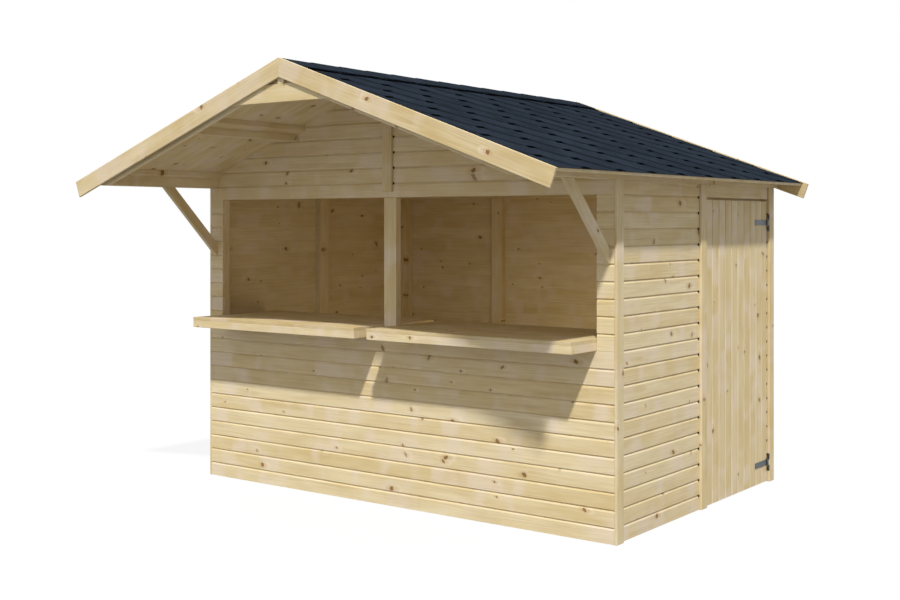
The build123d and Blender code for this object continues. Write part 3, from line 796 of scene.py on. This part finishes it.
def shingleRoof(side, sideName):
    # Hexagonal tabs in courses from the eave to the ridge. A tab widens up the slope on both sides until
    # it meets its neighbours. A course lies on the course below it: its face rises from one thickness at
    # its head to thick*(1 + length/exposure) at its butts.
    eave = roof["foot"] / roof["run"] + shingle["drip"]
    exposure, tab, thick, flat = shingle["exposure"], shingle["tab"], shingle["thick"], shingle["butt"] / 2
    length = 2 * exposure + shingle["headLap"]
    climb = thick * length / exposure
    widening = (tab / 2 - 2 * flat) / exposure
    shoulder = (tab / 2 - flat) / widening
    front, rear, margin = roof["front"], roof["rear"], band["margin"]
    butts = np.arange(eave - shingle["firstButt"], shingle["lastButt"], -exposure)
    layers = {"tab": [], "starter": [], "beside": [], "below": []}

    def addFelt(kind, down, level, butt, drop=0):
        # down is the distance from the ridge and level the place along it, one row a piece of felt
        face = thick + climb * (1 - (butt - down) / length)
        layers[kind].append((np.stack([down, level], -1), face - drop))

    def addBand(kind, down, low, high, butt, drop):
        # a four-sided band between low and high, where it is on the roof
        low, high = (np.clip(edge, front + margin, rear - margin) for edge in (low, high))
        wide = (high - low).min(axis=1) > 2 * margin
        level = np.concatenate([low, high[:, ::-1]], axis=1)[wide]
        addFelt(kind, np.broadcast_to(np.concatenate([down, down[::-1]]), level.shape), level, butt, drop)

    for course, butt in enumerate(butts):
        first = front + (shingle["firstTab"] + course % 2 * tab / 2) % tab
        middles = np.arange(first - tab, rear + tab, tab)[:, None]
        head = butt - max(butt - length, shingle["lastHead"])
        top = min(shoulder, head - margin)
        outside = np.maximum(front - middles, middles - rear)
        lowest = np.maximum(0, (outside - flat + shingle["narrowest"]) / widening)
        shown = lowest[:, 0] < top - shingle["shortest"]
        middles, lowest = middles[shown], lowest[shown]
        stations = lowest + (top - lowest) * np.linspace(0, 1, 5)
        reach = flat + widening * stations - shingle["gap"]
        reach = np.concatenate([reach, reach[:, -1:]], axis=1)
        stations = np.concatenate([stations, head + 0 * lowest], axis=1)
        level = np.clip(np.concatenate([(middles - reach)[:, ::-1], middles + reach], axis=1), front, rear)
        addFelt("tab", butt - np.concatenate([stations[:, ::-1], stations], axis=1), level, butt)
        # painted shadow: a near-black band under each butt
        half = np.array([1, 1]) * (flat - band["edge"])
        addBand("below", butt + np.array([-band["edge"], band["below"]]), middles - half, middles + half,
                butt, band["belowDrop"] if course else band["eaveDrop"])
        # painted shadow: a darker band beside the slanting edge nearer the front
        slantUp = np.array([min(exposure, head - 2 * margin), 0])
        slant = middles - flat - widening * slantUp
        addBand("beside", butt - slantUp, slant - band["beside"], slant + band["lap"], butt,
                band["besideDrop"])
    overlap = length - exposure
    addFelt("starter", eave - np.array([[overlap, 0, 0, overlap]]), np.array([[front, front, rear, rear]]),
            butts[0] + exposure)
    capStrip = ridgeCap["wing"] + np.array(band["capStrip"])  # painted shadow along the caps' edge
    addBand("below", capStrip, np.full((1, 2), front), np.full((1, 2), rear),
            butts[butts > capStrip[1]][-1], band["capDrop"])
    for kind, name, depth, felt, replaced in (
            ("tab", "shingle_tabs_", thick, slateFelt, ["shingles_" + sideName]),
            ("starter", "shingle_starter_", thick, slateFelt, []),
            ("beside", "slant_shadow_bands_", band["slantShadowThick"], shadedFelt, []),
            ("below", "edge_shadow_bands_", band["edgeShadowThick"], edgeShadowFelt, [])):
        spots, heights = (np.concatenate(rows) for rows in zip(*layers[kind]))
        layFelt(name + sideName, side, spots, heights, depth, felt, replaced)


ridgeCap = {
    "wing": 165 * mm,       # how far a cap reaches down each slope
    "pitch": 226 * mm,      # how much of each cap shows
    "lap": 74 * mm,
    "bendRadius": 78 * mm,  # of the soft bend over the ridge
    "bend": 0.36,           # half its width over its radius, a little more than the sine of the pitch
    "thick": 3 * mm,
    "lift": (4.4, 3.3)}     # height of a cap's front and rear end over the roof boards, in thicknesses


def ridgeCaps():
    # Each cap is a strip bent over the ridge, and its front end lies on the cap in front of it. Across
    # the ridge it is straight on each slope, with a circle that touches both slopes between them:
    # height = sqrt(r^2 - x^2) - r/cos(pitch), measured from where the two slopes would meet.
    count = math.ceil((roof["rear"] - roof["front"] - ridgeCap["lap"]) / ridgeCap["pitch"])
    starts = roof["front"] + ridgeCap["pitch"] * np.arange(count)
    ends = np.minimum(starts + ridgeCap["pitch"] + ridgeCap["lap"], roof["rear"])
    radius = ridgeCap["bendRadius"]
    bendPlaces = radius * np.linspace(-ridgeCap["bend"], ridgeCap["bend"], 7)
    wingPlaces = ridgeCap["wing"] * np.array([-1, -0.5, 0.5, 1])
    across = np.concatenate([wingPlaces[:2], bendPlaces, wingPlaces[2:]]) * roof["run"]
    straight = -np.abs(across) * roof["rise"] / roof["run"]
    bent = np.sqrt(np.maximum(radius ** 2 - across ** 2, 0)) - radius / roof["run"]
    profile = np.where(np.abs(across) < radius * roof["rise"], bent, straight)
    places = np.stack([starts, ends], axis=1)
    heights = np.array(ridgeCap["lift"]) * ridgeCap["thick"] / roof["run"]
    upperZ = roof["top"] + profile + heights[None, :, None] + np.zeros((count, 1, 1))
    upper = np.stack([*np.broadcast_arrays(across, places[..., None], upperZ)], -1)
    lower = upper - np.array([0, 0, ridgeCap["thick"] / roof["run"]])
    rings = np.concatenate([upper, lower[:, :, ::-1]], axis=2)
    return placePiece("ridge_caps", [rings], slateFelt, "stall", ["ridge_cap"], [rings])


for side, sideName in ((-1, "left"), (1, "right")):
    shingleRoof(side, sideName)
ridgeCaps()
print("shingles and ridge caps done")

studio = {
    "sun": 3.4, "sunAngle": 2.4, "sunTravel": (-0.685, 1.0, -1.51),
    "front": 0.2, "frontAngle": 60, "frontTravel": (0.2, 1.0, -0.2),
    "sky": 0.53, "skyTint": (0.98, 1.0, 1.06, 1.0),
    "fill": 8.5, "fillTint": (1.0, 0.85, 0.56), "fillSize": 0.25,
    "fillPlace": (0.4, 0.45, 0.7),  # from the middle, behind the counter tops, over the ground
    "floorHalf": 60.0, "floorTone": 0.26,
    "floorShown": 0.8, "floorGlow": 0.88}  # how the floor looks to the camera


def seenDirectly(tree):
    # 1 for what the camera sees, straight or mirrored, and 0 for the light that surfaces throw back
    rays = addNode(tree, "LightPath")
    return addNode(tree, "Math", {
        0: rays.outputs["Is Camera Ray"], 1: rays.outputs["Is Glossy Ray"]}, operation="MAXIMUM")


def paleFloor():
    # A large pale floor. To the camera it is near white and keeps a faint shadow; the light that it
    # throws back on the stall is that of a mid-grey floor.
    mesh = bpy.data.meshes.new("studio_floor")
    half, tone, shown = studio["floorHalf"], studio["floorTone"], studio["floorShown"]
    corners = [(-half, -half, 0), (half, -half, 0), (half, half, 0), (-half, half, 0)]
    mesh.from_pydata(corners, [], [(0, 1, 2, 3)])
    material, tree = newMaterial("paleFloor")
    toCamera = addNode(tree, "LightPath").outputs["Is Camera Ray"]
    colour = addNode(tree, "Mix", {
        "Factor": toCamera, "A": (tone, tone, tone, 1), "B": (shown, shown, shown, 1)}, data_type="RGBA")
    dull = addNode(tree, "BsdfDiffuse", {"Color": colour.outputs["Result"]})
    white = addNode(tree, "Emission", {"Color": (1, 1, 1, 1), "Strength": 1.0})
    share = addNode(tree, "Math", {0: seenDirectly(tree), 1: studio["floorGlow"]}, operation="MULTIPLY")
    mixed = addNode(tree, "MixShader", {0: share, 1: dull, 2: white})
    addNode(tree, "OutputMaterial", {"Surface": mixed})
    mesh.materials.append(material)
    newObject("studio_floor", mesh)


def paleSky():
    # white where it is seen, and a dimmer, slightly blue light on the stall
    world = bpy.data.worlds.new("studio")
    world.use_nodes = True
    bpy.context.scene.world = world
    tree = world.node_tree
    tree.nodes.clear()
    sky = addNode(tree, "Background", {"Color": studio["skyTint"], "Strength": studio["sky"]})
    white = addNode(tree, "Background", {"Color": (1, 1, 1, 1), "Strength": 1.0})
    either = addNode(tree, "MixShader", {0: seenDirectly(tree), 1: sky, 2: white})
    addNode(tree, "OutputWorld", {"Surface": either})


def farLight(name, energy, angle, travel):
    # a distant light whose rays run along travel; angle is how wide it is seen from the stall, in degrees
    light = newObject(name, bpy.data.lights.new(name, "SUN"))
    light.data.energy = energy
    light.data.angle = math.radians(angle)
    light.rotation_euler = (math.acos(-travel[2] / np.linalg.norm(travel)), 0,
                            math.atan2(travel[1], travel[0]) - math.pi / 2)


def warmFill():
    # a soft warm light behind the counters and below their tops, for what the wood all round throws back
    fill = newObject("studio_fill", bpy.data.lights.new("studio_fill", "POINT"))
    fill.data.shadow_soft_size = studio["fillSize"]
    fill.data.energy = studio["fill"]
    fill.data.color = studio["fillTint"]
    across, behind, up = studio["fillPlace"]
    fill.location = (across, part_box("counter_tops")[1][1] + behind, up)
    fill.visible_camera = False


paleFloor()
paleSky()
farLight("studio_sun", studio["sun"], studio["sunAngle"], studio["sunTravel"])
# a broad faint light straight at the serving front, from the bright sky in front of it
farLight("studio_front", studio["front"], studio["frontAngle"], studio["frontTravel"])
warmFill()

view = {
    "eye": (4.609, -6.173, 1.640), "turn": 36.8,  # level, at a person's eye height
    "lens": 50, "sensor": 36, "shift": -0.0871}
camera = newObject("camera", bpy.data.cameras.new("camera"))
camera.location = view["eye"]
camera.rotation_euler = (math.radians(90), 0, math.radians(view["turn"]))
camera.data.lens = view["lens"]
camera.data.sensor_width = view["sensor"]
camera.data.shift_y = view["shift"]
bpy.context.scene.camera = camera
bpy.context.scene.view_settings.view_transform = "Standard"
print("studio done")
